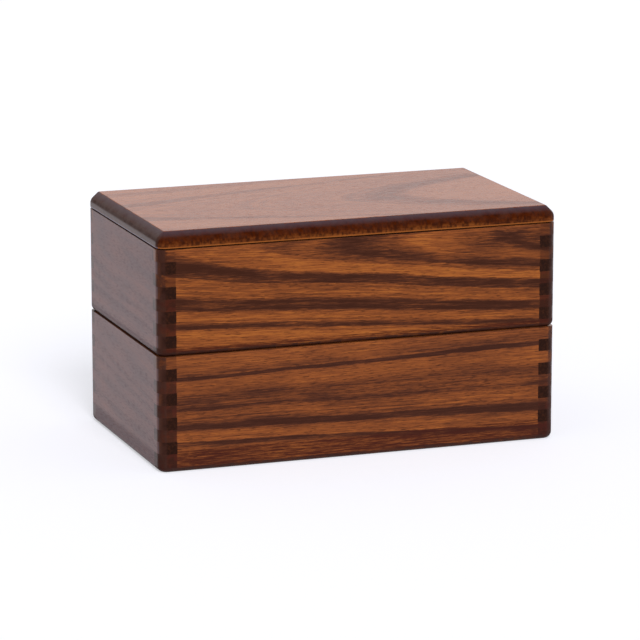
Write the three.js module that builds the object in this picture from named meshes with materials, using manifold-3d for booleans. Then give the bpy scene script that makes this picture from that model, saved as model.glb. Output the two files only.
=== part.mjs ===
// A two-tier wooden bento box with finger-jointed corners, a loose lid and a lift-out divider.
// Millimetres, +Z up. The box stands on z = 0 with its middle over the origin, its long side
// runs along X, and its front faces -Y.
import * as THREE from "three";
import { mergeVertices } from "three/addons/utils/BufferGeometryUtils.js";
import Module from "manifold-3d";

// Overall sizes
const boxLength = 190;
const boxWidth = 108.5;
const lowerTierHeight = 53;
const upperTierHeight = 48.25;
const lidThickness = 7.75;

// Wall boards, and how the outer edges of the box are eased
const wallThickness = 8.25;
const cornerRadius = 4.5;
const lowerFootRadius = 3;
const upperFootRadius = 2.5;
const lidChamfer = 3.75;
const leastRadius = 0.25;

// Finger joints, counted down from the mouth of a tier
const fingerHeight = 5.55;
const leastBottomFinger = 3;
const glueGap = 0.1;

// Floor panels, held in a groove round the inside of the walls
const floorThickness = 3;
const grooveAboveFoot = 3.25;
const grooveDepth = 4;
const grooveClearance = 0.15;

// Locating boards, which drop into the mouth of the tier below
const locatingDepth = 3;
const locatingClearance = 0.5;
const locatingCornerRadius = 1.5;

// The divider, which stands in two slots of the upper tier
const dividerThickness = 4;
const dividerOffset = 24;
const slotDepth = 2;
const slotClearance = 0.25;
const dividerTopClearance = 0.75;

// Facets of the round corners and edges, and of the lid's flat chamfer
const cornerSegments = 5;
const footSegments = 4;
const chamferSegments = 1;

// Cutting blocks run past what they cut by this much
const overcut = 20;
const farX = boxLength / 2 + overcut;
const farY = boxWidth / 2 + overcut;

// The inner faces of the walls, seen from the middle of the box
const innerX = boxLength / 2 - wallThickness;
const innerY = boxWidth / 2 - wallThickness;

// The heights of the floor panel, above the foot of its tier
const floorBottom = grooveAboveFoot + grooveClearance;
const floorTop = floorBottom + floorThickness;

const tiers = {
  lower: { name: "lower_tier", bottom: 0, height: lowerTierHeight, footRadius: lowerFootRadius },
  upper: { name: "upper_tier", bottom: lowerTierHeight, height: upperTierHeight, footRadius: upperFootRadius },
};

const wallWood = new THREE.MeshStandardMaterial({ color: 0x7a4320, roughness: 0.42, metalness: 0 });
const lidWood = new THREE.MeshStandardMaterial({ color: 0x6e3c20, roughness: 0.36, metalness: 0 });
const innerWood = new THREE.MeshStandardMaterial({ color: 0x8a542c, roughness: 0.5, metalness: 0 });

const wasm = await Module();
wasm.setup();

// A closed three.js geometry as a solid that can be joined and cut.
function solidOf(geometry) {
  const bare = geometry.clone();
  bare.deleteAttribute("normal");
  bare.deleteAttribute("uv");
  const merged = mergeVertices(bare);
  return new wasm.Manifold(
    new wasm.Mesh({
      numProp: 3,
      vertProperties: new Float32Array(merged.attributes.position.array),
      triVerts: new Uint32Array(merged.index.array),
    }),
  );
}

// A finished solid as a named mesh.
function meshOf(solid, name, material) {
  const made = solid.getMesh();
  const geometry = new THREE.BufferGeometry();
  geometry.setAttribute("position", new THREE.BufferAttribute(made.vertProperties, 3));
  geometry.setIndex(new THREE.BufferAttribute(made.triVerts, 1));
  geometry.computeVertexNormals();
  const mesh = new THREE.Mesh(geometry, material);
  mesh.name = name;
  return mesh;
}

// A plain block between two opposite corners, given in any order.
function block(cornerA, cornerB) {
  const size = cornerA.map((value, axis) => Math.abs(cornerB[axis] - value));
  const middle = cornerA.map((value, axis) => (cornerB[axis] + value) / 2);
  const geometry = new THREE.BoxGeometry(...size);
  geometry.translate(...middle);
  return solidOf(geometry);
}

// A rectangle with round corners, centred on the origin.
function roundedRectangle(length, width, radius) {
  const x = length / 2 - radius;
  const y = width / 2 - radius;
  const shape = new THREE.Shape();
  shape.absarc(x, y, radius, 0, Math.PI / 2);
  shape.absarc(-x, y, radius, Math.PI / 2, Math.PI);
  shape.absarc(-x, -y, radius, Math.PI, 1.5 * Math.PI);
  shape.absarc(x, -y, radius, 1.5 * Math.PI, 2 * Math.PI);
  return shape;
}

// A slab between two heights, with the box's round corners and with its edges eased above and below:
// a quarter round in several segments, or a chamfer in one.
function easedSlab(bottom, top, easing, easingSegments) {
  const outline = roundedRectangle(
    boxLength - 2 * easing,
    boxWidth - 2 * easing,
    Math.max(cornerRadius - easing, leastRadius),
  );
  const geometry = new THREE.ExtrudeGeometry(outline, {
    depth: top - bottom - 2 * easing,
    bevelSize: easing,
    bevelThickness: easing,
    bevelSegments: easingSegments,
    curveSegments: cornerSegments,
  });
  geometry.translate(0, 0, bottom + easing);
  return solidOf(geometry);
}

// The outer form of a tier: round corners, a round edge at the foot and a flat mouth.
function tierForm(tier) {
  const slab = easedSlab(0, tier.height + overcut, tier.footRadius, footSegments);
  return slab.intersect(block([-farX, -farY, 0], [farX, farY, tier.height]));
}

// The heights of the fingers of an end board. The long boards have the fingers between them.
function endFingers(tier) {
  const count = Math.floor((tier.height - leastBottomFinger) / (2 * fingerHeight));
  return Array.from({ length: count }, (_, index) => {
    const top = tier.height - (2 * index + 1) * fingerHeight;
    return { bottom: top - fingerHeight, top };
  });
}

// The groove of the floor panel, as one block that reaches into all four walls.
function floorGroove() {
  const x = innerX + grooveDepth;
  const y = innerY + grooveDepth;
  return block([-x, -y, grooveAboveFoot], [x, y, floorTop + grooveClearance]);
}

// The two upright slots of the divider, as one block that reaches into both long boards.
function dividerSlots(tier) {
  const halfWidth = dividerThickness / 2 + slotClearance;
  const y = innerY + slotDepth;
  return block(
    [dividerOffset - halfWidth, -y, floorTop],
    [dividerOffset + halfWidth, y, tier.height + overcut],
  );
}

// The front or the back board of a tier. Side is -1 for the front and 1 for the back.
function longBoard(tier, side) {
  const inside = side * (innerY + glueGap);
  let board = tierForm(tier).intersect(block([-farX, inside, 0], [farX, side * farY, tier.height]));
  for (const finger of endFingers(tier)) {
    for (const end of [-1, 1]) {
      const notch = block([end * innerX, -farY, finger.bottom], [end * farX, farY, finger.top]);
      board = board.subtract(notch);
    }
  }
  return board.subtract(floorGroove());
}

// The left or the right end board of a tier. Side is -1 for the left and 1 for the right.
function endBoard(tier, side) {
  const inside = side * (innerX + glueGap);
  let board = block([inside, -innerY, 0], [side * farX, innerY, tier.height]);
  for (const finger of endFingers(tier)) {
    const low = [inside, -farY, finger.bottom + glueGap];
    const high = [side * farX, farY, finger.top - glueGap];
    board = board.add(block(low, high));
  }
  return board.intersect(tierForm(tier)).subtract(floorGroove());
}

// The thin panel that lies in the floor groove of a tier.
function floorPanel() {
  const x = innerX + grooveDepth - grooveClearance;
  const y = innerY + grooveDepth - grooveClearance;
  return block([-x, -y, floorBottom], [x, y, floorTop]);
}

// A board that hangs into the mouth of the tier below, up to a height above that mouth.
function locatingBoard(top) {
  const outline = roundedRectangle(
    2 * (innerX - locatingClearance),
    2 * (innerY - locatingClearance),
    locatingCornerRadius,
  );
  const geometry = new THREE.ExtrudeGeometry(outline, {
    depth: top + locatingDepth,
    bevelEnabled: false,
    curveSegments: cornerSegments,
  });
  geometry.translate(0, 0, -locatingDepth);
  return solidOf(geometry);
}

// The lid's top board: flat below, with a chamfer all round above.
function lidTopBoard() {
  const slab = easedSlab(-overcut, lidThickness, lidChamfer, chamferSegments);
  return slab.intersect(block([-farX, -farY, 0], [farX, farY, lidThickness]));
}

// The divider, which stands on the floor panel and ends just below the lid's locating board.
function divider(tier) {
  const halfThickness = dividerThickness / 2;
  const y = innerY + slotDepth - slotClearance;
  const top = tier.height - locatingDepth - dividerTopClearance;
  return block([dividerOffset - halfThickness, -y, floorTop], [dividerOffset + halfThickness, y, top]);
}

// The four walls and the floor panel of a tier, in a group that stands on what is below it.
function tierGroup(tier, cutLongBoard) {
  const group = new THREE.Group();
  group.position.z = tier.bottom;
  group.add(meshOf(cutLongBoard(longBoard(tier, -1)), `${tier.name}_front_board`, wallWood));
  group.add(meshOf(cutLongBoard(longBoard(tier, 1)), `${tier.name}_back_board`, wallWood));
  group.add(meshOf(endBoard(tier, -1), `${tier.name}_left_board`, wallWood));
  group.add(meshOf(endBoard(tier, 1), `${tier.name}_right_board`, wallWood));
  group.add(meshOf(floorPanel(), `${tier.name}_floor_panel`, innerWood));
  return group;
}

const lowerTier = tierGroup(tiers.lower, (board) => board);

const upperTier = tierGroup(tiers.upper, (board) => board.subtract(dividerSlots(tiers.upper)));
upperTier.add(meshOf(locatingBoard(floorBottom), "upper_tier_locating_board", innerWood));
upperTier.add(meshOf(divider(tiers.upper), "divider", innerWood));

const lid = new THREE.Group();
lid.position.z = tiers.upper.bottom + tiers.upper.height;
lid.add(meshOf(lidTopBoard(), "lid_top_board", lidWood));
lid.add(meshOf(locatingBoard(0), "lid_locating_board", innerWood));

const bentoBox = new THREE.Group();
bentoBox.add(lowerTier, upperTier, lid);

export default bentoBox;
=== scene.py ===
"""A two-tier wooden bento box with finger-jointed corners, a loose lid and a lift-out divider.

Metres, +Z up, the front facing -Y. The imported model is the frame, and each piece takes its place from it.
"""

import math
import random

import bmesh
import bpy
from mathutils import Matrix, Vector


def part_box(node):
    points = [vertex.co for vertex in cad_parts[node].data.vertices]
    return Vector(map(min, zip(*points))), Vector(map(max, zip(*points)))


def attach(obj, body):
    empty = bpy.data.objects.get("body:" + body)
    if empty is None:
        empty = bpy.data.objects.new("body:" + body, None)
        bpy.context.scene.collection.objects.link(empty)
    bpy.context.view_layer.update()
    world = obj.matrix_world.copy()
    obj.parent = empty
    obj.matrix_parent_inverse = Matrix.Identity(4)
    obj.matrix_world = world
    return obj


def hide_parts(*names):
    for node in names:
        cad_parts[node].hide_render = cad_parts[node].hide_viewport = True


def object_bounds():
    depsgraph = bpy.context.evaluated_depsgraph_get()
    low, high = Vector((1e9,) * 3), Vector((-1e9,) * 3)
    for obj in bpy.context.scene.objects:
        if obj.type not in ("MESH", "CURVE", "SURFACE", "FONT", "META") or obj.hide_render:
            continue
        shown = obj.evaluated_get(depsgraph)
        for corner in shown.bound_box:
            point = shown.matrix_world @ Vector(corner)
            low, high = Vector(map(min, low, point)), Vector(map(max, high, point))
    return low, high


bl_info = {
    "name": "Wooden Bento Box",
    "version": (1, 0, 0),
    "blender": (4, 5, 0),
    "location": "3D View > Sidebar > Bento Box",
    "description": "Makes a stacking wooden bento box with finger-jointed corners",
    "category": "Add Mesh",
}

MM = 0.001
MM_PER_METRE = 1000.0

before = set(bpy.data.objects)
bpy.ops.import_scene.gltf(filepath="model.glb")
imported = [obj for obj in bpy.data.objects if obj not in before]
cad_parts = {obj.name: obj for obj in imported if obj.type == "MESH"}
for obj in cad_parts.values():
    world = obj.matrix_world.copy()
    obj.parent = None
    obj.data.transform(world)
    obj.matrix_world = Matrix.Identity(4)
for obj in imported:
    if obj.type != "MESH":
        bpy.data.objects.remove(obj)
CAD_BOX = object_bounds()

# The box's outline in plan, and the heights of the foot and the mouth of each tier
LID_LOW, LID_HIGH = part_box("lid_top_board")
HALF_LENGTH = LID_HIGH.x
HALF_WIDTH = LID_HIGH.y
TIERS = {
    tier: tuple(corner.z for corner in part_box(f"{tier}_tier_front_board"))
    for tier in ("lower", "upper")
}

# Where each long or end wall stands, and the way its grain runs
WALL_SIDES = {
    "front": ("X", -1),
    "back": ("X", 1),
    "left": ("Y", -1),
    "right": ("Y", 1),
}

# Cutting blocks run past what they cut by this much
OVERCUT = 20 * MM

# Points closer than this are on the same plane or outline, and closer than the second are one point
TOUCH = 0.02 * MM
MERGE = 0.001 * MM

# Facets of the round corners, feet and edges
CORNER_SEGMENTS = 8
LID_CORNER_SEGMENTS = 10
FOOT_SEGMENTS = 6
LOCATING_SEGMENTS = 5
RIDGE_SEGMENTS = 4
DIVIDER_TOP_SEGMENTS = 4
ARRIS_SEGMENTS = 2

# Angles between faces: flat enough to join, a softened ridge of the lid, shown as an edge, and square
FLAT_ANGLE = math.radians(1)
RIDGE_ANGLE = math.radians(30)
SHOWN_ANGLE = math.radians(50)
SHARP_ANGLE = math.radians(60)

# Sizes in millimetres of the wood's patterns, along and across the grain and into the board
SWIRL_CELL = (70, 22, 22)
WAVER_CELL = (8, 0.9, 0.9)
STREAK_CELL = (12, 0.5, 0.5)
BLOTCH_CELL = (30, 7, 7)
PORE_CELL = (4, 0.35, 0.35)
LINE_SPACING = 0.9

# Sizes in millimetres along X, Y and Z of the stain's mottles, and of its strokes down the lid's edge
MOTTLE_CELL = (3.5, 3.5, 3.5)
STROKE_CELL = (1.2, 1.2, 2.2)

# Boards with other seeds are cut this much farther on in the patterns
SEED_STEP = Vector((3.1, 7.7, 5.3))

# How much a blotch changes the tone, the ring tone that contrast leaves as it is, and what a ramp can hold
BLOTCH_WEIGHT = 0.5
MIDDLE_RING_TONE = 0.42
MOST_STOPS = 32

# Dry wood under lacquer: how strongly light enters it, and the tint of its glare
LACQUER_IOR = 1.55
GLARE_TINT = (0.45, 0.16, 0.08, 1.0)

# The camera: where it stands, and its turn, tip and roll in degrees
CAMERA_PLACE = (-0.5813, -1.6173, 0.4364)
CAMERA_TURN = -19.77
CAMERA_TIP = 90 - 12.62
CAMERA_ROLL = 0.01
CAMERA_LENS_MM = 214.23
CAMERA_SENSOR_MM = 36.0

# The studio: where the soft light comes from, the half size of the floor, and the floor's cool white
KEY_LIGHT_OFFSET = Vector((-0.12, -0.79, 0.60)) * 2.2
FLOOR_HALF_SIZE = 8.0
FLOOR_WHITE = (0.955, 0.965, 1.0, 1.0)
ROOM_WHITE = (1.0, 1.0, 1.0, 1.0)

# Kinds of node that the wood uses most
MATH = "ShaderNodeMath"
VECTOR_MATH = "ShaderNodeVectorMath"
MAP_RANGE = "ShaderNodeMapRange"
MIX = "ShaderNodeMix"


def linear(hex_colour):
    """An sRGB hex colour as linear red, green, blue and alpha."""
    values = [int(hex_colour[i : i + 2], 16) / 255 for i in (1, 3, 5)]
    return [v / 12.92 if v <= 0.04045 else ((v + 0.055) / 1.055) ** 2.4 for v in values] + [1.0]


def length_property(name, description, default_mm):
    """A length that a user may change."""
    return bpy.props.FloatProperty(
        name=name,
        description=description,
        default=default_mm * MM,
        min=0.0,
        precision=5,
        unit="LENGTH",
    )


def colour_property(name, description, hex_colour):
    """A colour that a user may change."""
    return bpy.props.FloatVectorProperty(
        name=name,
        description=description,
        default=linear(hex_colour),
        size=4,
        min=0.0,
        max=1.0,
        subtype="COLOR",
    )


class BentoSizes(bpy.types.PropertyGroup):
    """Sizes of the joinery and of the eased edges."""

    wall_thickness: length_property("Wall Thickness", "Thickness of the four walls of a tier", 8.25)
    finger_height: length_property("Finger Height", "Height of one finger of the corner joints", 5.55)
    least_bottom_finger: length_property(
        "Least Bottom Finger", "The lowest finger of a long wall is at least this high", 3.0
    )
    corner_radius: length_property("Corner Radius", "Radius of the upright corners", 4.5)
    lower_foot_radius: length_property("Lower Foot Radius", "Radius of the lower tier's foot", 3.0)
    upper_foot_radius: length_property("Upper Foot Radius", "Radius of the upper tier's foot", 2.5)
    lid_chamfer: length_property("Lid Chamfer", "Width of the chamfer round the top of the lid", 3.75)
    upper_softening: length_property(
        "Upper Softening", "How far sanding has rounded the chamfer's upper ridge", 0.6
    )
    lower_softening: length_property(
        "Lower Softening", "How far sanding has rounded the chamfer's lower ridge", 1.4
    )
    seam_arris: length_property(
        "Seam Arris", "Sanded lower edge of the lid, and edges of the locating boards", 0.25
    )
    fine_arris: length_property(
        "Fine Arris", "Sanded edge of the mouths, slots, grooves, floors and divider", 0.15
    )
    seam_relief: length_property(
        "Seam Relief", "How far the rim of the lid's underside lifts off, for the thin dark seam", 0.55
    )
    seam_relief_width: length_property("Seam Relief Width", "Width of the relieved rim of the lid", 2.0)
    groove_above_foot: length_property("Groove Height", "Height of the floor groove above the foot", 3.25)
    groove_height: length_property("Groove Width", "Height of the floor groove itself", 3.3)
    groove_depth: length_property("Groove Depth", "Depth of the floor groove in the walls", 4.0)
    slot_clearance: length_property("Slot Clearance", "Gap at each side of the divider in its slots", 0.25)
    slot_depth: length_property("Slot Depth", "Depth of the divider's slots in the long walls", 2.0)
    divider_top_radius: length_property("Divider Top Radius", "Radius of the divider's upper edges", 1.2)
    locating_radius: length_property("Locating Corner Radius", "Radius of the locating boards' corners", 1.5)


class BentoColours(bpy.types.PropertyGroup):
    """Colours of the stained wood and of the studio."""

    light_grain: colour_property("Light Grain", "Early wood, which takes the least stain", "#a25e2b")
    amber_grain: colour_property("Amber Grain", "Early wood with a little more stain", "#8a4c26")
    brown_grain: colour_property("Brown Grain", "The middle of the grain's range", "#6b3a20")
    dark_grain: colour_property("Dark Grain", "Late wood, which the stain turns dark", "#42241a")
    deepest_grain: colour_property("Deepest Grain", "The hearts of the darkest rings", "#301811")
    red_grain: colour_property("Red Grain", "Red-brown stain gathered along the foot", "#3a1611")
    warm_stain: colour_property("Warm Stain", "Redder stain on the lid and the end walls", "#b84a1a")
    # Also near-black painted shade on the lid's underside, in the seam
    end_grain_and_seam_shade: colour_property("End Grain", "Cut ends of the boards, nearly black with stain", "#1a0f0d")
    run_stain: colour_property("Run Stain", "Deep red-brown stain down the lid's edge", "#431703")
    edge_stain: colour_property("Edge Stain", "Stain gathered on rounded and chamfered edges", "#301c18")
    # Painted sheen: a grey-mauve painted reflection over the broad faces of the end walls and along the top
    # of the lid's chamfer, and a painted highlight on the lid's lower arris at the ends
    haze: colour_property("Haze", "Faint haze in the lacquer", "#776a7a")
    floor: colour_property("Floor", "The studio's floor", "#ceced6")


class BentoStudio(bpy.types.PropertyGroup):
    """Strengths of the studio's light."""

    key_light: bpy.props.FloatProperty(
        name="Key Light", description="Strength of the soft light from the front", default=2.26, min=0.0
    )
    key_spread: bpy.props.FloatProperty(
        name="Key Spread", description="How wide the soft light is", default=math.radians(28), subtype="ANGLE"
    )
    room_light: bpy.props.FloatProperty(
        name="Room Light", description="Strength of the light from all round", default=0.42, min=0.0
    )
    floor_lift: bpy.props.FloatProperty(
        name="Floor Lift", description="How much whiter the floor shows than it is lit", default=0.495
    )


# ---------------------------------------------------------------- boards


def add_block(bm, low, high):
    """A plain block between two corners, added to a bmesh."""
    low, high = Vector(low), Vector(high)
    place = Matrix.Translation((low + high) / 2) @ Matrix.Diagonal((*(high - low), 1.0))
    bmesh.ops.create_cube(bm, size=1.0, matrix=place)


def block(low, high):
    """A plain block between two corners."""
    bm = bmesh.new()
    add_block(bm, low, high)
    return bm


def new_object(name, bm):
    """An object in the scene that holds a copy of a bmesh."""
    mesh = bpy.data.meshes.new(name)
    bm.to_mesh(mesh)
    made = bpy.data.objects.new(name, mesh)
    bpy.context.scene.collection.objects.link(made)
    return made


def cut_away(bm, blocks):
    """Takes blocks, each given by two corners, out of a board."""
    cutters = bmesh.new()
    for low, high in blocks:
        add_block(cutters, low, high)
    board = new_object("board_on_bench", bm)
    saw = new_object("saw_on_bench", cutters)
    cutters.free()
    cut = board.modifiers.new("Cut", "BOOLEAN")
    cut.operation = "DIFFERENCE"
    cut.solver = "EXACT"
    cut.object = saw
    evaluated = board.evaluated_get(bpy.context.evaluated_depsgraph_get())
    bm.clear()
    bm.from_mesh(evaluated.to_mesh())
    evaluated.to_mesh_clear()
    for used in (board, saw):
        mesh = used.data
        bpy.data.objects.remove(used)
        bpy.data.meshes.remove(mesh)
    bmesh.ops.remove_doubles(bm, verts=bm.verts, dist=MERGE)
    bmesh.ops.dissolve_limit(bm, angle_limit=FLAT_ANGLE, verts=bm.verts, edges=bm.edges)


def ease_edges(bm, chosen, width, segments):
    """Rounds or chamfers the edges that a test chooses."""
    edges = [edge for edge in bm.edges if chosen(edge)]
    if not edges:
        raise RuntimeError("No edge was found to ease")
    bmesh.ops.bevel(
        bm,
        geom=edges,
        offset=width,
        offset_type="OFFSET",
        segments=segments,
        profile=0.5,
        affect="EDGES",
        material=-1,
        clamp_overlap=True,
        loop_slide=True,
    )


def outline_distance(point, radius):
    """How far a point lies outside the box's rounded outline in plan."""
    x = abs(point.x) - (HALF_LENGTH - radius)
    y = abs(point.y) - (HALF_WIDTH - radius)
    if x > 0 and y > 0:
        return math.hypot(x, y) - radius
    return max(x, y) - radius


def on_outline(vertex, radius, height):
    """Whether a vertex lies on the box's outline at a height."""
    return abs(vertex.co.z - height) < TOUCH and abs(outline_distance(vertex.co, radius)) < TOUCH


def edge_on_outline(edge, radius, height):
    """Whether an edge lies on the box's outline at a height."""
    return all(on_outline(vertex, radius, height) for vertex in edge.verts)


def is_level(edge, height):
    """Whether both ends of an edge are at a height."""
    return all(abs(vertex.co.z - height) < TOUCH for vertex in edge.verts)


def is_upright(edge):
    """Whether an edge runs upwards."""
    return abs(edge.verts[0].co.z - edge.verts[1].co.z) > TOUCH


def upright_corner(edge):
    """Whether an edge is one of the upright outer corners."""
    return is_upright(edge) and all(
        abs(abs(vertex.co.x) - HALF_LENGTH) < TOUCH and abs(abs(vertex.co.y) - HALF_WIDTH) < TOUCH
        for vertex in edge.verts
    )


def is_sharp(edge):
    """Whether two faces meet squarely at an edge."""
    return len(edge.link_faces) == 2 and edge.calc_face_angle() > SHARP_ANGLE


def finish_piece(bm, name, node, body, material):
    """Makes the object of a finished board, which stands for a CAD node and rides on its body."""
    bmesh.ops.recalc_face_normals(bm, faces=bm.faces)
    piece = new_object(name, bm)
    bm.free()
    piece.data.shade_smooth()
    piece.data.set_sharp_from_angle(angle=SHOWN_ANGLE)
    piece.data.materials.append(material)
    flat_faces = piece.modifiers.new("Flat Faces", "WEIGHTED_NORMAL")
    flat_faces.keep_sharp = True
    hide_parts(node)
    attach(piece, body)
    return piece


def finger_heights(foot, mouth, sizes):
    """Lower and upper height of each end-wall finger, counted down from the mouth."""
    count = int((mouth - foot - sizes.least_bottom_finger) / (2 * sizes.finger_height))
    tops = [mouth - (2 * i + 1) * sizes.finger_height for i in range(count)]
    return [(top - sizes.finger_height, top) for top in tops]


def socket_heights(foot, mouth, sizes):
    """Lower and upper height of each gap between the end-wall fingers."""
    bounds = [mouth + OVERCUT]
    for low, high in finger_heights(foot, mouth, sizes):
        bounds += [high, low]
    bounds.append(foot - OVERCUT)
    return [(bounds[i + 1], bounds[i]) for i in range(0, len(bounds), 2)]


def floor_groove(foot, sizes):
    """The groove of a floor panel, as one block that reaches into all four walls."""
    x = HALF_LENGTH - sizes.wall_thickness + sizes.groove_depth
    y = HALF_WIDTH - sizes.wall_thickness + sizes.groove_depth
    low = foot + sizes.groove_above_foot
    return (-x, -y, low), (x, y, low + sizes.groove_height)


def divider_slots(mouth, sizes):
    """The divider's two slots, as one block that reaches into both long walls."""
    low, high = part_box("divider")
    y = HALF_WIDTH - sizes.wall_thickness + sizes.slot_depth
    gap = sizes.slot_clearance
    return (low.x - gap, -y, low.z), (high.x + gap, y, mouth + OVERCUT)


def long_wall(tier, side, sizes):
    """The front or the back wall of a tier, with sockets for the end walls' fingers."""
    foot, mouth = TIERS[tier]
    inside = side * (HALF_WIDTH - sizes.wall_thickness)
    outside = side * HALF_WIDTH
    shoulder = HALF_LENGTH - sizes.wall_thickness
    far = HALF_LENGTH + OVERCUT
    bm = block((-HALF_LENGTH, min(inside, outside), foot), (HALF_LENGTH, max(inside, outside), mouth))
    sockets = []
    for low, high in finger_heights(foot, mouth, sizes):
        sockets.append(((-far, -far, low), (-shoulder, far, high)))
        sockets.append(((shoulder, -far, low), (far, far, high)))
    cut_away(bm, sockets)
    cut_away(bm, [floor_groove(foot, sizes)])
    if tier == "upper":
        cut_away(bm, [divider_slots(mouth, sizes)])
    return bm


def end_wall(tier, side, sizes):
    """The left or the right wall of a tier, with fingers that reach to the long walls' outer faces."""
    foot, mouth = TIERS[tier]
    inside = side * (HALF_LENGTH - sizes.wall_thickness)
    outside = side * HALF_LENGTH
    shoulder = HALF_WIDTH - sizes.wall_thickness
    far = HALF_LENGTH + OVERCUT
    bm = block((min(inside, outside), -HALF_WIDTH, foot), (max(inside, outside), HALF_WIDTH, mouth))
    gaps = []
    for low, high in socket_heights(foot, mouth, sizes):
        gaps.append(((-far, -far, low), (far, -shoulder, high)))
        gaps.append(((-far, shoulder, low), (far, far, high)))
    cut_away(bm, gaps)
    cut_away(bm, [floor_groove(foot, sizes)])
    return bm


def ease_wall(bm, tier, sizes):
    """Rounds a wall's outer corners and foot, and takes its other free edges off lightly."""
    foot, mouth = TIERS[tier]
    radius = sizes.corner_radius
    foot_radius = sizes.lower_foot_radius if tier == "lower" else sizes.upper_foot_radius
    shoulder_x = HALF_LENGTH - sizes.wall_thickness
    shoulder_y = HALF_WIDTH - sizes.wall_thickness

    # Edges are split where the joint begins, because those inside it stay sharp
    for side in (-1, 1):
        bmesh.ops.bisect_plane(
            bm,
            geom=bm.verts[:] + bm.edges[:] + bm.faces[:],
            dist=MERGE,
            plane_co=(side * shoulder_x, 0, 0),
            plane_no=(1, 0, 0),
        )

    def free_edge(edge):
        middle = (edge.verts[0].co + edge.verts[1].co) / 2
        in_joint = abs(middle.x) > shoulder_x - TOUCH and abs(middle.y) > shoulder_y - TOUCH
        return is_sharp(edge) and not in_joint

    def mouth_edge(edge):
        return edge_on_outline(edge, radius, mouth) or (is_level(edge, mouth) and free_edge(edge))

    ease_edges(bm, upright_corner, radius, CORNER_SEGMENTS)
    ease_edges(bm, lambda edge: edge_on_outline(edge, radius, foot), foot_radius, FOOT_SEGMENTS)
    ease_edges(bm, mouth_edge, sizes.fine_arris, ARRIS_SEGMENTS)
    ease_edges(bm, free_edge, sizes.fine_arris, 1)


# ---------------------------------------------------------------- wood


def add_node(tree, kind, inputs=None, **settings):
    """A node with its settings. Each input is a value, another node's output, or a node for its first one."""
    node = tree.nodes.new(kind)
    for name, value in settings.items():
        setattr(node, name, value)
    for name, value in (inputs or {}).items():
        if isinstance(value, bpy.types.Node):
            value = value.outputs[0]
        if isinstance(value, bpy.types.NodeSocket):
            tree.links.new(value, node.inputs[name])
        else:
            node.inputs[name].default_value = value
    return node


def set_stops(ramp, stops):
    """Gives a colour ramp its stops, each a position and a colour or a grey tone."""
    elements = ramp.color_ramp.elements
    while len(elements) > 1:
        elements.remove(elements[-1])
    for index, (position, colour) in enumerate(stops):
        element = elements[0] if index == 0 else elements.new(position)
        element.position = position
        element.color = colour if hasattr(colour, "__len__") else (colour, colour, colour, 1.0)


def growth_rings(seed, first, last):
    """Ring stops, in millimetres from the heart, with dark late wood between light bands of uneven width."""
    dice = random.Random(seed)
    stops = [(first, 0.3)]
    radius = first
    while radius < last and len(stops) + 4 <= MOST_STOPS:
        light = dice.uniform(2.2, 5.0)
        dark = dice.uniform(0.7, 2.2)
        light_tone = dice.uniform(0.12, 0.35)
        dark_tone = dice.uniform(0.65, 0.9)
        stops.append((radius + 0.45 * light, light_tone))
        stops.append((radius + 0.85 * light, light_tone + 0.1))
        stops.append((radius + light + 0.2 * dark, dark_tone))
        stops.append((radius + light + 0.8 * dark, dark_tone))
        radius += light + dark
    return stops


# Rings that follow the object: distance from the heart in millimetres, and tone from light to dark
UPPER_FRONT_RINGS = [
    (17.0, 0.50), (21.6, 0.60), (22.2, 0.14), (22.5, 0.02), (23.0, 0.04), (23.4, 0.44),
    (23.8, 0.56), (24.6, 0.68), (25.0, 0.46), (25.7, 0.34), (26.1, 0.12), (27.8, 0.10),
    (28.3, 0.76), (30.4, 0.84), (31.0, 0.40), (33.0, 0.22), (35.0, 0.38), (35.7, 0.80),
    (38.7, 0.86), (39.3, 0.36), (41.0, 0.18), (43.0, 0.34), (43.7, 0.70), (45.0, 0.72),
    (45.7, 0.24), (47.2, 0.12), (48.6, 0.20), (51.5, 0.22), (53.0, 0.50),
]
LOWER_FRONT_RINGS = [
    (-24.0, 0.34), (-19.0, 0.19), (-12.2, 0.40), (-11.7, 0.78), (-10.6, 0.80), (-10.0, 0.34),
    (-9.0, 0.20), (-6.0, 0.18), (-3.5, 0.30), (-2.5, 0.50), (4.2, 0.50), (4.9, 0.76),
    (5.8, 0.76), (6.4, 0.42), (9.6, 0.30), (12.4, 0.42), (13.4, 0.88), (15.8, 0.90),
    (16.6, 0.34), (19.0, 0.25), (21.6, 0.28), (22.5, 0.92), (23.8, 0.86), (24.6, 0.36),
    (34.0, 0.40),
]
LID_RINGS = [
    (40.0, 0.30), (47.0, 0.20), (52.0, 0.28), (57.0, 0.30), (59.0, 0.85), (61.5, 0.80),
    (63.5, 0.45), (68.0, 0.40), (74.6, 0.40), (75.2, 0.72), (76.1, 0.68), (77.0, 0.35),
    (82.0, 0.25), (85.0, 0.60), (88.0, 0.30), (96.0, 0.40),
]

# Clouds of stain: the middle and the half size, along and across in millimetres, and how dark each is
UPPER_FRONT_CLOUDS = [
    (-9.0, 0.0, 36.0, 9.0, 0.07),
    (53.0, 0.5, 19.0, 7.0, 0.18),
    (-62.0, -9.0, 26.0, 3.0, 0.18),
    (-64.0, -2.0, 24.0, 5.0, 0.16),
    (76.0, -7.5, 30.0, 8.0, 0.26),
    (24.0, -8.0, 12.0, 4.5, 0.15),
]
LOWER_FRONT_CLOUDS = [
    (55.0, 16.0, 45.0, 5.0, 0.12),
    (-50.0, -2.0, 45.0, 4.0, 0.10),
    (-60.0, -11.0, 30.0, 4.0, 0.14),
    (-62.0, 7.0, 36.0, 5.0, 0.14),
    (50.0, 7.0, 20.0, 5.0, 0.12),
    (12.0, -11.0, 20.0, 4.0, 0.12),
]


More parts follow.
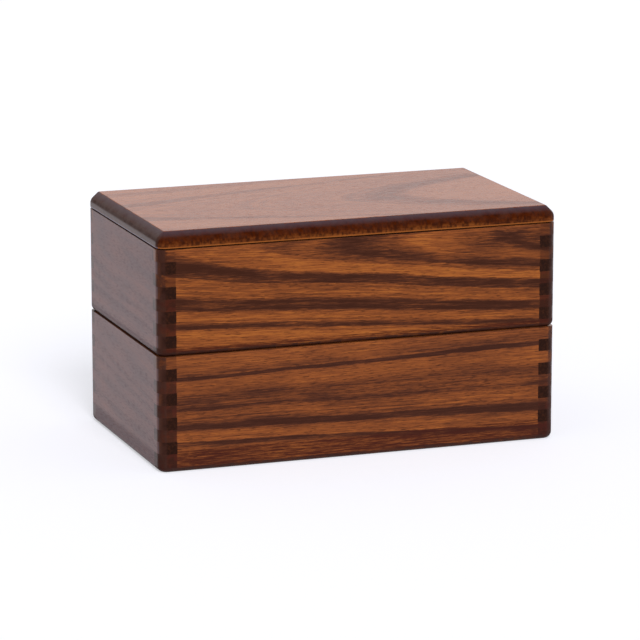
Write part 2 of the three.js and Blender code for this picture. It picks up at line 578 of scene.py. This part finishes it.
def wood_log(along, across, depth, **facts):
    """How a board lies in its log: its three axes, and what differs from the usual."""
    usual = {
        "along": along,
        "across": across,
        "depth": depth,
        # The outer face in millimetres, and whether depth grows with or against the axis
        "outer_face": 0.0,
        "inward": 1.0,
        # The heart of the log: its height, the slope of the grain, its depth, and how that changes
        "heart_across": 0.0,
        "tilt": 0.0,
        "heart_depth": 25.0,
        "taper": -0.06,
        "bend": 0.0,
        # Nearly flat layers in place of a heart: how they spread, and how they slant into the board
        "fan": None,
        "slant": 0.4,
        # How far swirls and feathering push the rings, in millimetres
        "swirl": 3.0,
        "waver": 1.4,
        "rings": None,
        "clouds": (),
        # Strengths of the pattern, its middle tone, the tint of the stain, and how much grey-mauve painted
        # sheen lies over the broad faces
        "contrast": 1.0,
        "streaks": 1.0,
        "lines": 0.35,
        "pores": 0.7,
        "middle_tone": 0.42,
        "warmth": 0.0,
        "haze": 0.0,
        # The lacquer: its roughness and shine, its relief, and how much duller it is on rounded edges
        "roughness": 0.26,
        "shine": 0.5,
        "relief": 0.25,
        "dulling": 0.30,
        # How dark the end grain is, and which part of the patterns the board is cut from
        "end_share": 0.95,
        "seed": 1,
        # Heights where the red stain of the foot is whole and where it ends
        "foot": None,
        # Where the finger joints begin, the tier's foot and mouth, and how the stain leans to one side
        "joint_from": None,
        "joint_heights": None,
        "joint_lean": 0.0,
        # The lower and upper height of the lid's upright edge
        "lid_edge": None,
    }
    return {**usual, **facts}


def weighted_sum(tree, total, *parts):
    """A value with each part, a field and its weight, added to it."""
    for field, weight in parts:
        inputs = {0: field, 1: weight, 2: total}
        total = add_node(tree, MATH, inputs, operation="MULTIPLY_ADD")
    return total


def noise_field(tree, point, cell, shift, detail, roughness=0.5):
    """A noise whose cells have a size in millimetres along each axis of a point."""
    scale = tuple(1 / size for size in cell)
    scaled = add_node(tree, VECTOR_MATH, {0: point, 1: scale, 2: shift}, operation="MULTIPLY_ADD")
    inputs = {"Vector": scaled, "Scale": 1.0, "Detail": detail, "Roughness": roughness}
    return add_node(tree, "ShaderNodeTexNoise", inputs)


def ring_coordinate(tree, log, along, across, depth):
    """Distance from the heart of the log, or depth in a fan of nearly flat layers, in millimetres."""
    if log["fan"] is not None:
        spread = weighted_sum(tree, 1.0, (along, log["fan"]))
        layer = add_node(tree, MATH, {0: across, 1: spread}, operation="DIVIDE")
        height = weighted_sum(tree, layer, (depth, log["slant"]))
        return add_node(tree, MATH, {0: height, 1: -1.0}, operation="MULTIPLY")
    squared = add_node(tree, MATH, {0: along, 1: along}, operation="MULTIPLY")
    parts = ((along, log["taper"]), (squared, log["bend"]), (depth, 1.0))
    below = weighted_sum(tree, log["heart_depth"], *parts)
    radial = add_node(tree, "ShaderNodeCombineXYZ", {0: across, 1: below})
    return add_node(tree, VECTOR_MATH, {0: radial}, operation="LENGTH").outputs["Value"]


def cloud_shares(tree, clouds, point, waver):
    """Soft, ragged clouds of stain, each a field and how dark it is."""
    shares = []
    for middle_along, middle_across, half_along, half_across, darkness in clouds:
        scale = (1 / half_along, 1 / half_across, 0.0)
        offset = (-middle_along / half_along, -middle_across / half_across, 0.0)
        place = add_node(tree, VECTOR_MATH, {0: point, 1: scale, 2: offset}, operation="MULTIPLY_ADD")
        reach = add_node(tree, VECTOR_MATH, {0: place}, operation="LENGTH").outputs["Value"]
        ragged = weighted_sum(tree, reach, (waver, 1.0))
        edge = {"Value": ragged, "From Min": 1.75, "From Max": 1.15}
        cloud = add_node(tree, MAP_RANGE, edge, interpolation_type="SMOOTHSTEP")
        shares.append((cloud, darkness))
    return shares


def foot_stain(tree, log, spot):
    """Where red-brown stain lies along the foot of a tier, and how much the fibres there hold."""
    low, high = log["foot"]
    uneven = weighted_sum(tree, spot["height"], (spot["waver"], 1.5))
    reach = {"Value": uneven, "From Min": high + 0.75, "From Max": low + 0.75}
    foot = add_node(tree, MAP_RANGE, reach, interpolation_type="SMOOTHSTEP")
    fibres = {"Value": spot["streak"], "From Min": 0.40, "From Max": 0.56, "To Min": 0.2, "To Max": 0.9}
    held = add_node(tree, MAP_RANGE, fibres)
    return foot, held


def joint_stain(tree, log, spot, colours):
    """Where stain gathers round the finger joints, how much the fingers take, and its patchy colour."""
    low, high = log["joint_heights"]
    outward = add_node(tree, MATH, {0: spot["along"]}, operation="ABSOLUTE")
    beside = {"Value": outward, "From Min": log["joint_from"], "From Max": log["joint_from"] + 0.4}
    joint = add_node(tree, MAP_RANGE, beside)

    # The lower fingers take the most
    parts = ((spot["along"], log["joint_lean"]), (spot["blotch"], high - low))
    sunk = weighted_sum(tree, spot["height"], *parts)
    above = 1.4 * high - 0.4 * low
    deepening = {"Value": sunk, "From Min": above, "From Max": high, "To Min": 0.1, "To Max": 0.9}
    taken = add_node(tree, MAP_RANGE, deepening)
    patches = {"Value": spot["mottle"], "From Min": 0.44, "From Max": 0.58, "To Max": 0.7}
    dark = add_node(tree, MAP_RANGE, patches)
    tints = {"Factor": dark, 6: colours.red_grain, 7: colours.end_grain_and_seam_shade}
    stain = add_node(tree, MIX, tints, data_type="RGBA")
    return joint, taken, stain.outputs[2]


def lid_edge_stain_and_painted_light(tree, log, spot, colours):
    """The lid's edge: stain that has run down it, what lies over that, and what the long chamfers keep.

    Gives the layers under and over the stain of the rounded edges, how much of that stain is left, and where
    the long sides are. The layers over it are a painted reflection along the top of the chamfer, a lower
    arris painted lighter, as worn bare wood on the long sides and as a painted highlight on the ends, and
    painted shade in the seam.
    """
    low, high = log["lid_edge"]
    height = spot["height"]
    run = noise_field(tree, spot["millimetres"], STROKE_CELL, spot["shift"], 3.0)
    off_top = add_node(tree, MATH, {0: 1.0, 1: spot["broad_face"]}, operation="SUBTRACT")
    long_side = add_node(tree, MATH, {0: spot["facing_y"], 1: 0.5}, operation="GREATER_THAN")

    # Deep red-brown from the top, which ends unevenly, and short dark strokes
    run_height = weighted_sum(tree, height, (run, 4.0))
    reach = {"Value": run_height, "From Min": low + 2, "From Max": high + 2, "To Min": 0.50, "To Max": 0.99}
    run_share = add_node(tree, MAP_RANGE, reach, interpolation_type="SMOOTHSTEP")
    strokes = add_node(tree, MAP_RANGE, {"Value": run, "From Min": 0.44, "From Max": 0.62, "To Max": 0.5})
    under = [(run_share, off_top, colours.run_stain), (strokes, off_top, colours.end_grain_and_seam_shade)]

    # The lower half of the long chamfers keeps the deep red
    reach = {"Value": height, "From Min": high + 3.0, "From Max": high + 1.0, "To Min": 1.0, "To Max": 0.15}
    kept_red = add_node(tree, MAP_RANGE, reach)
    edge_part = add_node(tree, MIX, {"Factor": long_side, "A": 1.0, "B": kept_red})

    # Painted reflection along the top of the chamfer, a lower arris painted lighter, as worn bare wood on the
    # long sides and as a whitish painted highlight on the ends, and near-black painted shade in the seam
    # under it
    # Painted reflection, lighter towards the top of the chamfer
    reach = {"Value": height, "From Min": high + 1.2, "From Max": high + 3.4, "To Max": 0.22}
    hazed = add_node(tree, MAP_RANGE, reach)
    reach = {"Value": height, "From Min": low + 0.75, "From Max": low + 0.45, "To Max": 0.7}
    arris_wear_and_highlight = add_node(tree, MAP_RANGE, reach)
    # Whitish painted highlight on the ends, and light bare wood on the long sides where wear took the stain
    # off
    tints = {"Factor": long_side, 6: colours.haze, 7: colours.light_grain}
    worn_wood_and_highlight = add_node(tree, MIX, tints, data_type="RGBA")
    # Near-black painted shade on the underside, in the seam
    painted_seam_shade = add_node(tree, MATH, {0: height, 1: low - 0.03}, operation="LESS_THAN")
    over = [
        (hazed, off_top, colours.haze),
        (arris_wear_and_highlight, 1.0, worn_wood_and_highlight.outputs[2]),
        (painted_seam_shade, 1.0, colours.end_grain_and_seam_shade),
    ]
    return under, over, edge_part, long_side


def stained_wood(name, log, colours):
    """Open-grained hardwood, wiped with dark stain and finished with thin satin lacquer.

    The eye sees orange-brown bands between dark rings, feathered by fibres along the grain, with short dark
    pores, nearly black end grain, dark rounded edges, and a strong soft glare where the surface is seen low.
    """
    material = bpy.data.materials.new(name)
    material.use_nodes = True
    tree = material.node_tree
    tree.nodes.clear()

    # Where a point lies: in the box, and along, across and into its board, all in millimetres
    coordinates = add_node(tree, "ShaderNodeTexCoord").outputs
    scaled = {0: coordinates["Object"], "Scale": MM_PER_METRE}
    millimetres = add_node(tree, VECTOR_MATH, scaled, operation="SCALE")
    place = add_node(tree, "ShaderNodeSeparateXYZ", {0: millimetres}).outputs
    turned = add_node(tree, VECTOR_MATH, {0: coordinates["Normal"]}, operation="ABSOLUTE")
    facing = add_node(tree, "ShaderNodeSeparateXYZ", {0: turned}).outputs
    along = place[log["along"]]
    level = weighted_sum(tree, place[log["across"]], (along, log["tilt"]))
    across = add_node(tree, MATH, {0: level, 1: log["heart_across"]}, operation="SUBTRACT")
    depth = weighted_sum(tree, -log["inward"] * log["outer_face"], (place[log["depth"]], log["inward"]))
    point = add_node(tree, "ShaderNodeCombineXYZ", {0: along, 1: across, 2: depth})

    # Slow swirls of the rings, the feathering of their edges, fibre streaks, cloudy blotches and mottles
    shift = SEED_STEP * log["seed"]
    swirl = noise_field(tree, point, SWIRL_CELL, shift, 1.0)
    waver = noise_field(tree, point, WAVER_CELL, shift, 3.0, 0.6)
    streak = noise_field(tree, point, STREAK_CELL, shift, 4.0, 0.75)
    blotch = noise_field(tree, point, BLOTCH_CELL, shift, 2.0)
    mottle = noise_field(tree, millimetres, MOTTLE_CELL, shift, 2.0)
    broad_face = add_node(tree, MATH, {0: facing[log["depth"]], 1: 0.9}, operation="GREATER_THAN")
    spot = {
        "along": along,
        "height": place["Z"],
        "millimetres": millimetres,
        "shift": shift,
        "facing_y": facing["Y"],
        "broad_face": broad_face,
        "waver": waver,
        "streak": streak,
        "blotch": blotch,
        "mottle": mottle,
    }

    # The rings, pushed about by the swirls and the feathering
    ring = ring_coordinate(tree, log, along, across, depth)
    ring = weighted_sum(tree, ring, (swirl, log["swirl"]), (waver, log["waver"]))
    middle_shift = (log["swirl"] + log["waver"]) / 2
    first, last = log["rings"][0][0], log["rings"][-1][0]
    span = {"Value": ring, "From Min": first + middle_shift, "From Max": last + middle_shift}
    ring_tone = add_node(tree, "ShaderNodeValToRGB", {"Fac": add_node(tree, MAP_RANGE, span)})
    set_stops(ring_tone, [((radius - first) / (last - first), tone) for radius, tone in log["rings"]])

    # Fine growth lines, which follow the rings
    line_place = add_node(tree, MATH, {0: ring, 1: 1 / LINE_SPACING}, operation="MULTIPLY")
    fineness = {"W": line_place, "Scale": 1.0, "Detail": 2.0}
    lines = add_node(tree, "ShaderNodeTexNoise", fineness, noise_dimensions="1D")

    # Blotches weaken the rings in places, as stain does
    strong = log["contrast"]
    patches = {"Value": blotch, "From Min": 0.32, "From Max": 0.52, "To Min": 0.65 * strong, "To Max": strong}
    ring_strength = add_node(tree, MAP_RANGE, patches)
    off_middle = add_node(tree, MATH, {0: ring_tone, 1: MIDDLE_RING_TONE}, operation="SUBTRACT")
    tone = weighted_sum(
        tree,
        log["middle_tone"] - (log["lines"] + log["streaks"] + BLOTCH_WEIGHT) / 2,
        (off_middle, ring_strength),
        (lines, log["lines"]),
        (streak, log["streaks"]),
        (blotch, BLOTCH_WEIGHT),
        *cloud_shares(tree, log["clouds"], point, waver),
    )
    grain = add_node(tree, "ShaderNodeValToRGB", {"Fac": tone})
    set_stops(
        grain,
        [
            (0.05, colours.light_grain),
            (0.25, colours.amber_grain),
            (0.50, colours.brown_grain),
            (0.76, colours.dark_grain),
            (0.98, colours.deepest_grain),
        ],
    )

    # Pores: dashes wider than real ones, so that they show, and denser in dark rings
    pore_noise = noise_field(tree, point, PORE_CELL, shift, 1.0)
    pore_level = weighted_sum(tree, pore_noise, (ring_tone, 0.18))
    level = {"Value": pore_level, "From Min": 0.62, "From Max": 0.74}
    pores = add_node(tree, MAP_RANGE, level, interpolation_type="SMOOTHSTEP")

    # Layers of stain, each two shares and a colour, and what changes the roughness and the shine
    layers = [(pores, log["pores"], colours.deepest_grain)]
    rougher = [(pores, 0.10)]
    shinier = []
    if log["warmth"] > 0:
        layers.append((broad_face, log["warmth"], colours.warm_stain))
    if log["foot"] is not None:
        foot, held = foot_stain(tree, log, spot)
        layers.append((foot, held, colours.red_grain))
        rougher.append((foot, 0.08))
        shinier.append((foot, -0.12))
    if log["joint_from"] is not None:
        layers.append(joint_stain(tree, log, spot, colours))
    over, edge_part = [], 1.0
    if log["lid_edge"] is not None:
        under, over, edge_part, long_side = lid_edge_stain_and_painted_light(tree, log, spot, colours)
        layers += under
        shinier.append((long_side, -0.3))

    # End grain, where the surface is cut across the fibres: it drinks the stain unevenly and shines less
    turn = {"Value": facing[log["along"]], "From Min": 0.6, "From Max": 0.9}
    cut_across = add_node(tree, MAP_RANGE, turn, interpolation_type="SMOOTHSTEP")
    most = log["end_share"]
    patches = {"Value": waver, "From Min": 0.35, "From Max": 0.55, "To Min": 0.78 * most, "To Max": most}
    drunk = add_node(tree, MAP_RANGE, patches)
    end_share = add_node(tree, MATH, {0: cut_across, 1: drunk}, operation="MULTIPLY")
    layers.append((end_share, 1.0, colours.end_grain_and_seam_shade))
    rougher.append((cut_across, 0.06))
    shinier.append((end_share, -0.3))

    # Darker, duller stain on rounded and chamfered edges, which hold it unevenly
    wide = add_node(tree, MATH, {0: facing["X"], 1: facing["Y"]}, operation="MAXIMUM")
    squareness = add_node(tree, MATH, {0: wide, 1: facing["Z"]}, operation="MAXIMUM")
    turn = {"Value": squareness, "From Min": 0.995, "From Max": 0.94}
    rounded = add_node(tree, MAP_RANGE, turn, interpolation_type="SMOOTHSTEP")
    patches = {"Value": mottle, "From Min": 0.40, "From Max": 0.58, "To Min": 0.5, "To Max": 0.96}
    gathered = add_node(tree, MAP_RANGE, patches)
    edge_share = add_node(tree, MATH, {0: rounded, 1: gathered}, operation="MULTIPLY")
    off_mean = add_node(tree, MATH, {0: mottle, 1: 0.5}, operation="SUBTRACT")
    edge_gloss = add_node(tree, MATH, {0: off_mean, 1: rounded}, operation="MULTIPLY")
    layers.append((edge_share, edge_part, colours.edge_stain))
    rougher.append((rounded, log["dulling"]))
    shinier.append((edge_gloss, 0.8))

    # Over the edge stain: the lid's painted reflection, lighter arris and painted seam shade
    layers += over
    # A grey-mauve painted sheen over the broad faces
    if log["haze"] > 0:
        layers.append((broad_face, log["haze"], colours.haze))

    # Each layer lies over those before it
    colour = grain.outputs["Color"]
    for share, limit, stain in layers:
        factor = add_node(tree, MATH, {0: share, 1: limit}, operation="MULTIPLY")
        tints = {"Factor": factor, 6: colour, 7: stain}
        colour = add_node(tree, MIX, tints, data_type="RGBA").outputs[2]

    # Relief: pores lie a little below the lacquer, and fibres ripple it
    relief = weighted_sum(tree, streak, (pores, -0.6))
    ripple = {"Height": relief, "Strength": log["relief"], "Distance": 0.05 * MM}
    bump = add_node(tree, "ShaderNodeBump", ripple)
    surface = add_node(
        tree,
        "ShaderNodeBsdfPrincipled",
        {
            "Base Color": colour,
            "Roughness": weighted_sum(tree, log["roughness"], *rougher),
            "IOR": LACQUER_IOR,
            "Specular IOR Level": weighted_sum(tree, log["shine"], *shinier),
            "Specular Tint": GLARE_TINT,
            "Normal": bump,
        },
    )
    add_node(tree, "ShaderNodeOutputMaterial", {"Surface": surface})
    return material


def wall_log(tier, side):
    """How each wall board lies in its log."""
    along, sign = WALL_SIDES[side]
    depth = "Y" if along == "X" else "X"
    half = HALF_WIDTH if along == "X" else HALF_LENGTH
    foot, mouth = (height * MM_PER_METRE for height in TIERS[tier])
    facts = {
        "outer_face": sign * half * MM_PER_METRE,
        "inward": -sign,
        "foot": (foot + 3.0, foot + 4.0),
    }
    seeds = {"front": 1, "back": 2, "left": 3, "right": 4}
    seed = seeds[side] + (10 if tier == "upper" else 20)
    if along == "X":
        shoulder = HALF_LENGTH - bpy.context.scene.bento_sizes.wall_thickness
        facts["joint_from"] = shoulder * MM_PER_METRE
        facts["joint_heights"] = (foot, mouth)
        facts["end_share"] = 0.25
    if (tier, side) == ("upper", "front"):
        facts.update(
            heart_across=mouth - 3.0,
            tilt=0.036,
            heart_depth=24.2,
            taper=-0.042,
            rings=UPPER_FRONT_RINGS,
            clouds=UPPER_FRONT_CLOUDS,
            middle_tone=0.44,
            streaks=1.6,
            lines=0.6,
            waver=0.9,
        )
    elif (tier, side) == ("lower", "front"):
        facts.update(
            heart_across=mouth - 20.0,
            fan=0.16 / 95,
            rings=LOWER_FRONT_RINGS,
            clouds=LOWER_FRONT_CLOUDS,
            contrast=0.9,
            streaks=1.3,
            lines=0.5,
            waver=1.1,
            middle_tone=0.46,
            # A faint grey-mauve painted sheen on the broad faces
            haze=0.01,
            foot=(foot + 9.3, foot + 9.9),
            joint_lean=0.14,
        )
    else:
        dice = random.Random(seed)
        heart_depth = dice.uniform(18, 32)
        facts.update(
            heart_across=foot + dice.uniform(-12, 60),
            heart_depth=heart_depth,
            taper=dice.uniform(-0.08, 0.08),
            rings=growth_rings(seed, max(heart_depth - 9, 1), heart_depth + 62),
        )
    if along == "Y":
        facts.update(
            contrast=0.16,
            streaks=0.3,
            lines=0.2,
            pores=0.45,
            relief=0.12,
            dulling=0.02,
            middle_tone=0.66,
            warmth=0.06,
            # A grey-mauve painted sheen on the end walls' broad faces
            haze=0.2,
            roughness=0.35,
        )
        if tier == "lower":
            facts["foot"] = (foot + 7.0, foot + 10.0)
    return wood_log(along, "Z", depth, seed=seed, **facts)


def flat_log(seed, top, **facts):
    """How a flat board, such as the lid or a floor, lies in its log."""
    dice = random.Random(seed)
    usual = {
        "outer_face": top * MM_PER_METRE,
        "inward": -1.0,
        "heart_across": dice.uniform(-20, 20),
        "heart_depth": 40.0,
        "taper": dice.uniform(-0.1, 0.1),
        "rings": growth_rings(seed, 30, 92),
        "seed": seed,
    }
    return wood_log("X", "Y", "Z", **{**usual, **facts})


# ---------------------------------------------------------------- studio


def shown_directly(tree):
    """1 for rays that show something to the camera, and 0 for those that only light the box."""
    rays = add_node(tree, "ShaderNodeLightPath").outputs
    seen = add_node(tree, MATH, {0: rays["Is Camera Ray"], 1: rays["Is Glossy Ray"]}, operation="MAXIMUM")
    shown = add_node(tree, MATH, {0: seen, 1: rays["Is Transmission Ray"]}, operation="MAXIMUM")
    return shown


def paper_white(studio, colours):
    """Matt white paper under even light: the eye sees cool white that keeps a soft grey shadow."""
    paper = bpy.data.materials.new("matt_white_paper")
    paper.use_nodes = True
    tree = paper.node_tree
    tree.nodes.clear()
    lift = add_node(tree, MATH, {0: shown_directly(tree), 1: studio.floor_lift}, operation="MULTIPLY")
    surface = add_node(
        tree,
        "ShaderNodeBsdfPrincipled",
        {
            "Base Color": colours.floor,
            "Roughness": 0.9,
            "IOR": 1.2,
            "Emission Color": FLOOR_WHITE,
            "Emission Strength": lift,
        },
    )
    add_node(tree, "ShaderNodeOutputMaterial", {"Surface": surface})
    return paper


def studio_room(studio):
    """A room that shows as plain white and lights the box more weakly than that."""
    world = bpy.data.worlds.new("studio_room")
    world.use_nodes = True
    tree = world.node_tree
    tree.nodes.clear()
    brightness = {"Value": shown_directly(tree), "To Min": studio.room_light, "To Max": 1.0}
    strength = add_node(tree, MAP_RANGE, brightness)
    room = add_node(tree, "ShaderNodeBackground", {"Color": ROOM_WHITE, "Strength": strength})
    add_node(tree, "ShaderNodeOutputWorld", {"Surface": room})
    return world


# ---------------------------------------------------------------- operators


class BENTO_OT_tier_walls(bpy.types.Operator):
    """Makes the eight walls of the two tiers, with their finger joints"""

    bl_idname = "bento.tier_walls"
    bl_label = "Tier Walls"

    def execute(self, context):
        sizes = context.scene.bento_sizes
        colours = context.scene.bento_colours
        for tier in TIERS:
            for side, (along, sign) in WALL_SIDES.items():
                make_wall = long_wall if along == "X" else end_wall
                bm = make_wall(tier, sign, sizes)
                ease_wall(bm, tier, sizes)
                wood = stained_wood(f"stained_wood_{tier}_{side}", wall_log(tier, side), colours)
                node = f"{tier}_tier_{side}_board"
                finish_piece(bm, f"{tier}_{side}_wall", node, f"{tier}_tier", wood)
        return {"FINISHED"}


class BENTO_OT_floors(bpy.types.Operator):
    """Makes the floor panel of each tier"""

    bl_idname = "bento.floors"
    bl_label = "Floor Panels"

    def execute(self, context):
        sizes = context.scene.bento_sizes
        colours = context.scene.bento_colours
        for seed, tier in enumerate(TIERS, start=31):
            node = f"{tier}_tier_floor_panel"
            low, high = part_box(node)
            bm = block(low, high)
            ease_edges(bm, is_sharp, sizes.fine_arris, ARRIS_SEGMENTS)
            wood = stained_wood(f"stained_wood_{tier}_floor", flat_log(seed, high.z), colours)
            finish_piece(bm, f"{tier}_floor", node, f"{tier}_tier", wood)
        return {"FINISHED"}


class BENTO_OT_locating_boards(bpy.types.Operator):
    """Makes the boards under the lid and the upper tier that drop into the mouth below"""

    bl_idname = "bento.locating_boards"
    bl_label = "Locating Boards"

    def execute(self, context):
        sizes = context.scene.bento_sizes
        colours = context.scene.bento_colours
        places = {
            "upper_step": ("upper_tier_locating_board", "upper_tier"),
            "lid_step": ("lid_locating_board", "lid"),
        }
        for seed, (name, (node, body)) in enumerate(places.items(), start=41):
            low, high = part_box(node)
            bm = block(low, high)
            ease_edges(bm, is_upright, sizes.locating_radius, LOCATING_SEGMENTS)
            ease_edges(bm, is_sharp, sizes.seam_arris, ARRIS_SEGMENTS)
            wood = stained_wood(f"stained_wood_{name}", flat_log(seed, low.z, inward=1.0), colours)
            finish_piece(bm, name, node, body, wood)
        return {"FINISHED"}


class BENTO_OT_divider(bpy.types.Operator):
    """Makes the divider of the upper tier"""

    bl_idname = "bento.divider"
    bl_label = "Divider"

    def execute(self, context):
        sizes = context.scene.bento_sizes
        low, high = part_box("divider")
        bm = block(low, high)

        def top_edge(edge):
            return is_level(edge, high.z) and abs(edge.verts[0].co.y - edge.verts[1].co.y) > TOUCH

        ease_edges(bm, top_edge, sizes.divider_top_radius, DIVIDER_TOP_SEGMENTS)
        ease_edges(bm, is_sharp, sizes.fine_arris, ARRIS_SEGMENTS)
        log = wood_log(
            "Y",
            "Z",
            "X",
            outer_face=high.x * MM_PER_METRE,
            inward=-1.0,
            heart_across=low.z * MM_PER_METRE - 8,
            heart_depth=22.0,
            rings=growth_rings(51, 15, 70),
            seed=51,
        )
        wood = stained_wood("stained_wood_divider", log, context.scene.bento_colours)
        finish_piece(bm, "divider_board", "divider", "divider", wood)
        return {"FINISHED"}


class BENTO_OT_lid(bpy.types.Operator):
    """Makes the lid, with its chamfered top edge"""

    bl_idname = "bento.lid"
    bl_label = "Lid"

    def execute(self, context):
        sizes = context.scene.bento_sizes
        radius = sizes.corner_radius
        top = LID_HIGH.z
        chamfer_foot = top - sizes.lid_chamfer
        rim_height = LID_LOW.z + sizes.seam_relief
        bm = block(LID_LOW, LID_HIGH)
        ease_edges(bm, upright_corner, radius, LID_CORNER_SEGMENTS)

        # The rim of the underside lifts off a little, so the seam shows as a thin dark line
        underside = [face for face in bm.faces if face.normal.z < -0.9]
        bmesh.ops.inset_region(bm, faces=underside, thickness=sizes.seam_relief_width, use_even_offset=True)
        rim = [vertex for vertex in bm.verts if on_outline(vertex, radius, LID_LOW.z)]
        bmesh.ops.translate(bm, vec=(0, 0, sizes.seam_relief), verts=rim)

        ease_edges(bm, lambda edge: edge_on_outline(edge, radius, top), sizes.lid_chamfer, 1)
        for ridge, softening in ((chamfer_foot, sizes.lower_softening), (top, sizes.upper_softening)):

            def on_ridge(edge):
                return is_level(edge, ridge) and edge.calc_face_angle() > RIDGE_ANGLE

            ease_edges(bm, on_ridge, softening, RIDGE_SEGMENTS)

        def on_rim(edge):
            return edge_on_outline(edge, radius, rim_height)

        ease_edges(bm, on_rim, sizes.seam_arris, ARRIS_SEGMENTS)

        log = flat_log(
            61,
            top,
            heart_across=-5.75,
            heart_depth=65.0,
            taper=-0.146,
            bend=-0.00054,
            rings=LID_RINGS,
            contrast=1.1,
            streaks=1.4,
            lines=0.6,
            waver=1.1,
            warmth=0.27,
            middle_tone=0.28,
            shine=0.44,
            relief=0.03,
            pores=0.6,
            end_share=0.6,
            lid_edge=(rim_height * MM_PER_METRE, chamfer_foot * MM_PER_METRE),
        )
        wood = stained_wood("stained_wood_lid", log, context.scene.bento_colours)
        finish_piece(bm, "lid_board", "lid_top_board", "lid", wood)
        return {"FINISHED"}


class BENTO_OT_stage(bpy.types.Operator):
    """Makes the floor, the soft light and the camera"""

    bl_idname = "bento.stage"
    bl_label = "Stage"

    def execute(self, context):
        scene = context.scene
        studio = scene.bento_studio

        bm = bmesh.new()
        bmesh.ops.create_grid(bm, x_segments=1, y_segments=1, size=FLOOR_HALF_SIZE)
        floor = new_object("studio_floor", bm)
        bm.free()
        floor.data.materials.append(paper_white(studio, scene.bento_colours))
        scene.world = studio_room(studio)

        middle = Vector((0, 0, CAD_BOX[1][2] / 2))
        lamp = bpy.data.lights.new("key_light", "SUN")
        lamp.angle = studio.key_spread
        lamp.energy = studio.key_light
        key = bpy.data.objects.new("key_light", lamp)
        key.location = middle + KEY_LIGHT_OFFSET
        key.rotation_euler = (middle - key.location).to_track_quat("-Z", "Y").to_euler()
        scene.collection.objects.link(key)

        lens = bpy.data.cameras.new("camera")
        lens.lens = CAMERA_LENS_MM
        lens.sensor_width = CAMERA_SENSOR_MM
        camera = bpy.data.objects.new("camera", lens)
        turn = Matrix.Rotation(math.radians(CAMERA_TURN), 4, "Z")
        tip = Matrix.Rotation(math.radians(CAMERA_TIP), 4, "X")
        roll = Matrix.Rotation(math.radians(CAMERA_ROLL), 4, "Z")
        camera.matrix_world = Matrix.Translation(CAMERA_PLACE) @ turn @ tip @ roll
        scene.collection.objects.link(camera)
        scene.camera = camera
        scene.view_settings.view_transform = "Standard"
        return {"FINISHED"}


class BENTO_PT_sidebar(bpy.types.Panel):
    """Lists the steps that make the box, with its sizes and colours"""

    bl_idname = "BENTO_PT_sidebar"
    bl_label = "Bento Box"
    bl_space_type = "VIEW_3D"
    bl_region_type = "UI"
    bl_category = "Bento Box"

    def draw(self, context):
        layout = self.layout
        scene = context.scene
        for operator in OPERATORS:
            layout.operator(operator.bl_idname)
        for settings in (scene.bento_sizes, scene.bento_colours, scene.bento_studio):
            column = layout.column()
            for name in settings.__annotations__:
                column.prop(settings, name)


SETTINGS = (BentoSizes, BentoColours, BentoStudio)
OPERATORS = (
    BENTO_OT_stage,
    BENTO_OT_tier_walls,
    BENTO_OT_floors,
    BENTO_OT_locating_boards,
    BENTO_OT_divider,
    BENTO_OT_lid,
)


def register():
    for item in (*SETTINGS, *OPERATORS, BENTO_PT_sidebar):
        bpy.utils.register_class(item)
    bpy.types.Scene.bento_sizes = bpy.props.PointerProperty(type=BentoSizes)
    bpy.types.Scene.bento_colours = bpy.props.PointerProperty(type=BentoColours)
    bpy.types.Scene.bento_studio = bpy.props.PointerProperty(type=BentoStudio)


def unregister():
    del bpy.types.Scene.bento_studio
    del bpy.types.Scene.bento_colours
    del bpy.types.Scene.bento_sizes
    for item in reversed((*SETTINGS, *OPERATORS, BENTO_PT_sidebar)):
        bpy.utils.unregister_class(item)


def main():
    register()
    bpy.ops.bento.stage()
    bpy.ops.bento.tier_walls()
    bpy.ops.bento.floors()
    bpy.ops.bento.locating_boards()
    bpy.ops.bento.divider()
    bpy.ops.bento.lid()


if __name__ == "__main__":
    main()
